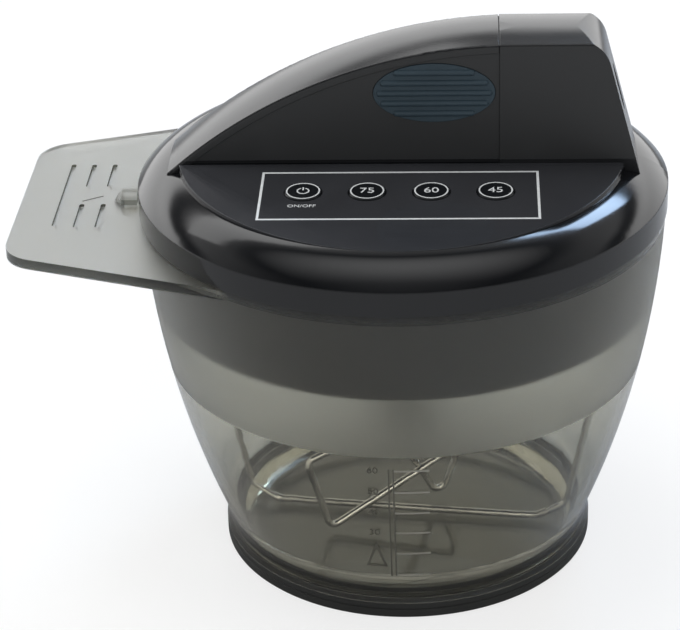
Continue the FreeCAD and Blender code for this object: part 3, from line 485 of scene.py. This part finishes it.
flatPlate(*panel["frame"], panel["ridge"])
pressOut(panel["frameLine"])
printOn("panel_frame_print", "head")
keyTop = panel["ridge"] + panel["proud"]
for index, (body, number) in enumerate(panel["keys"]):
    x, y = (index - 1.5) * panel["pitch"], panel["row"]
    flatDisc(panel["ringSides"], panel["ringR"], x, y, keyTop)
    pressOut(panel["ringLine"])
    printOn(body + "_ring_print", body)
    if number:
        writeText(number, panel["numberSize"], x, y, keyTop)
        printOn(body + "_number_print", body)
    else:
        # on/off sign: an open ring with a short bar in its gap
        flatDisc(panel["signSides"], panel["signR"], x, y, keyTop)
        pressOut(panel["signLine"])
        openRing(x, y)
        printOn("power_button_sign_print", body)
        halfWidth, halfLength, middle = panel["barWidth"] / 2, panel["barLength"] / 2, y + panel["barUp"]
        flatPlate(x - halfWidth, x + halfWidth, middle - halfLength, middle + halfLength, keyTop)
        printOn("power_button_bar_print", body)
writeText("ON/OFF", panel["wordSize"], -1.5 * panel["pitch"], panel["row"] - panel["wordBelow"], panel["ridge"])
printOn("on_off_print", "head")
print("panel print done")


# moulded fill scale on the front of the bowl: a rule, ticks, numbers and a level mark. The rule is its two lines'
# places in x, and its low and high end
bowlWall = {"rimR": 80.3, "rimZ": 115.3, "curveR": 305.3, "curveZ": 127.1}
scale = {"raise": 0.3, "rule": (-3.5, -2.1, 16.4, 62.1), "ruleWidth": 0.45, "ruleCuts": 20,
         "ticks": (61.5, 53.0, 44.5, 36.0, 26.9, 17.0), "tickFrom": -1.7, "tickTo": 8.6, "tickHeight": 0.55,
         "tickCuts": 8, "numbers": ("60", "50", "40", "30"), "numberX": -8.0, "numberSize": 3.4,
         "mark": (-7.6, 24.6), "markSides": 3, "markR": 5.0, "markStretch": (0.72, 1.5), "markLine": 0.7,
         "markCuts": 3}


def wallRadius(z):
    # the wall is an arc, turned round the bowl's axis
    above = bowlWall["rimZ"] - bowlWall["curveZ"]
    centre = bowlWall["rimR"] - math.sqrt(bowlWall["curveR"] ** 2 - above ** 2)
    return centre + math.sqrt(bowlWall["curveR"] ** 2 - (z - bowlWall["curveZ"]) ** 2)


def mouldOn(name, material, cuts=0):
    # a shape drawn flat in x and y, with y as its height, is laid on the front of the bowl's wall. A long shape is
    # cut up first, so that it follows the curve
    piece = nameIt(name, material, "bowl")
    if cuts:
        editAll()
        bpy.ops.mesh.subdivide(number_cuts=cuts)
        leaveEdit()
    for vertex in piece.data.vertices:
        x, z = vertex.co.x / mm, vertex.co.y / mm
        vertex.co = Vector((x, -math.sqrt(wallRadius(z) ** 2 - x ** 2), z)) * mm
    solidify(piece, scale["raise"])


ruleLeft, ruleRight, ruleLow, ruleHigh = scale["rule"]
for name, x in (("scale_rule_left", ruleLeft), ("scale_rule_right", ruleRight)):
    flatPlate(x, x + scale["ruleWidth"], ruleLow, ruleHigh)
    mouldOn(name, paintedShadeRelief, scale["ruleCuts"])
for index, z in enumerate(scale["ticks"]):
    flatPlate(scale["tickFrom"], scale["tickTo"], z - scale["tickHeight"] / 2, z + scale["tickHeight"] / 2)
    mouldOn(f"scale_tick_{index + 1}", paintedHighlightRelief, scale["tickCuts"])
for z, number in zip(scale["ticks"], scale["numbers"]):
    writeText(number, scale["numberSize"], scale["numberX"], z)
    mouldOn("scale_number_" + number, paintedShadeRelief)
flatDisc(scale["markSides"], scale["markR"], *scale["mark"], stretch=scale["markStretch"])
pressOut(scale["markLine"])
mouldOn("scale_level_mark", paintedShadeRelief, scale["markCuts"])
print("fill scale done")


# pale paper floor. The eye sees it almost white. A polished surface sees it duller, so that the black stays black
paperFloor = {"size": 9.0, "colour": "#f6f6f6", "mirrored": "#bcbcbc", "glow": 0.72}        # size in metres
bpy.ops.mesh.primitive_plane_add(size=paperFloor["size"])
floor = bpy.context.object
floor.name = "floor"
paper = newMaterial("palePaper")
path = addNode(paper, "ShaderNodeLightPath")
paperColour = addNode(paper, "ShaderNodeMix", {"data_type": "RGBA"},
                      {6: toLinear(paperFloor["colour"]), 7: toLinear(paperFloor["mirrored"])},
                      [("Factor", path, "Is Glossy Ray")])
shade = addNode(paper, "ShaderNodeBsdfDiffuse", links=[("Color", paperColour, 2)])
glow = addNode(paper, "ShaderNodeEmission", sockets={"Strength": 1.0})
share = addNode(paper, "ShaderNodeMath", {"operation": "MULTIPLY"}, {1: paperFloor["glow"]},
                [(0, path, "Is Camera Ray")])
both = addNode(paper, "ShaderNodeMixShader", links=[(0, share, "Value"), (1, shade, "BSDF"), (2, glow, "Emission")])
addNode(paper, "ShaderNodeOutputMaterial", links=[("Surface", both, "Shader")])
floor.data.materials.append(paper)

# backdrop: white to the eye and through the plastic. In a reflection it is a bright sweep that fades to a dim
# ceiling, times a factor for each side. The sweep is (height, strength), where height is the direction's z: 0 at the
# horizon and 1 straight up. The sides' factors change between two values of the direction's y, or of its x
studio = {"ambient": 0.62, "front": 0.4, "back": 2.1, "frontEnds": -0.3, "backStarts": 0.4,
          "left": 1.25, "leftStarts": -0.35, "leftFull": -0.7,
          "sweep": ((0.0, 0.85), (0.3, 0.85), (0.37, 1.0), (0.44, 1.0), (0.475, 0.03), (0.54, 0.03),
                    (0.6, 0.3), (0.74, 0.22), (0.83, 0.015), (1.0, 0.015))}
world = bpy.data.worlds.new("studio")
bpy.context.scene.world = world
world.use_nodes = True
world.node_tree.nodes.clear()
sky = addNode(world, "ShaderNodeLightPath")
look = addNode(world, "ShaderNodeTexCoord")
direction = addNode(world, "ShaderNodeSeparateXYZ", links=[("Vector", look, "Generated")])
sweep = addNode(world, "ShaderNodeValToRGB", links=[("Fac", direction, "Z")])
for place, strength in studio["sweep"]:
    stop = sweep.color_ramp.elements.new(place)
    stop.color = (strength, strength, strength, 1.0)
sweep.color_ramp.elements.remove(sweep.color_ramp.elements[0])
sweep.color_ramp.elements.remove(sweep.color_ramp.elements[-1])
backward = addNode(world, "ShaderNodeMapRange",
                   sockets={"From Min": studio["frontEnds"], "From Max": studio["backStarts"],
                            "To Min": studio["front"], "To Max": studio["back"]},
                   links=[("Value", direction, "Y")])
leftward = addNode(world, "ShaderNodeMapRange",
                   sockets={"From Min": studio["leftStarts"], "From Max": studio["leftFull"],
                            "To Min": 1.0, "To Max": studio["left"]},
                   links=[("Value", direction, "X")])
factor = addNode(world, "ShaderNodeMath", {"operation": "MULTIPLY"},
                 links=[(0, backward, "Result"), (1, leftward, "Result")])
shine = addNode(world, "ShaderNodeMath", {"operation": "MULTIPLY"}, links=[(0, sweep, "Color"), (1, factor, "Value")])
lit = addNode(world, "ShaderNodeMix", {"data_type": "FLOAT"}, {"A": studio["ambient"]},
              [("Factor", sky, "Is Glossy Ray"), ("B", shine, "Value")])
seen = addNode(world, "ShaderNodeMath", {"operation": "MAXIMUM"},
               links=[(0, sky, "Is Camera Ray"), (1, sky, "Is Transmission Ray")])
level = addNode(world, "ShaderNodeMix", {"data_type": "FLOAT"}, {"B": 1.0},
                [("Factor", seen, "Value"), ("A", lit, "Result")])
back = addNode(world, "ShaderNodeBackground", sockets={"Color": (1, 1, 1, 1)}, links=[("Strength", level, "Result")])
addNode(world, "ShaderNodeOutputWorld", links=[("Surface", back, "Background")])

# softboxes: compass angle from the front towards +X, height angle, distance, width and height in metres, watts,
# tint, and whether a polished surface shows it. All of them aim at the middle of the bowl's rim
aim = Vector((0, 0, 0.12))        # metres
softboxes = [
    ("backLeftBox", -146, 44, 1.3, 1.0, 0.3, 1.6, "#ffffff", True),
    ("backRightStrip", 154, 40, 1.3, 0.4, 0.34, 6.0, "#b4d0f2", True),
    ("overheadBox", -120, 78, 1.4, 0.7, 0.7, 8.0, "#ffffff", False),
    ("frontFill", 12, 32, 1.7, 1.1, 0.5, 6.0, "#ffffff", False),
]
for name, compass, rise, distance, width, tall, power, tint, mirrored in softboxes:
    lamp = bpy.data.lights.new(name, "AREA")
    lamp.shape = "RECTANGLE"
    lamp.size = width
    lamp.size_y = tall
    lamp.energy = power
    lamp.color = toLinear(tint)[:3]
    holder = bpy.data.objects.new(name, lamp)
    bpy.context.scene.collection.objects.link(holder)
    holder.visible_glossy = mirrored
    compass, rise = math.radians(compass), math.radians(rise)
    away = Vector((math.cos(rise) * math.sin(compass), -math.cos(rise) * math.cos(compass), math.sin(rise)))
    holder.location = aim + away * distance
    holder.rotation_euler = (-away).to_track_quat("-Z", "Y").to_euler()

# the photograph's angle: place in metres, turn in degrees, lens and sensor in millimetres
view = {"place": (0.02071, -0.69781, 0.4361), "turn": (62.6433, 1.5129, 2.5801), "lens": 132.353, "sensor": 36}
cameraData = bpy.data.cameras.new("camera")
cameraData.lens = view["lens"]
cameraData.sensor_width = view["sensor"]
camera = bpy.data.objects.new("camera", cameraData)
camera.location = view["place"]
camera.rotation_euler = [math.radians(a) for a in view["turn"]]
bpy.context.scene.collection.objects.link(camera)
bpy.context.scene.camera = camera
bpy.context.scene.view_settings.view_transform = "Standard"
print("studio done")
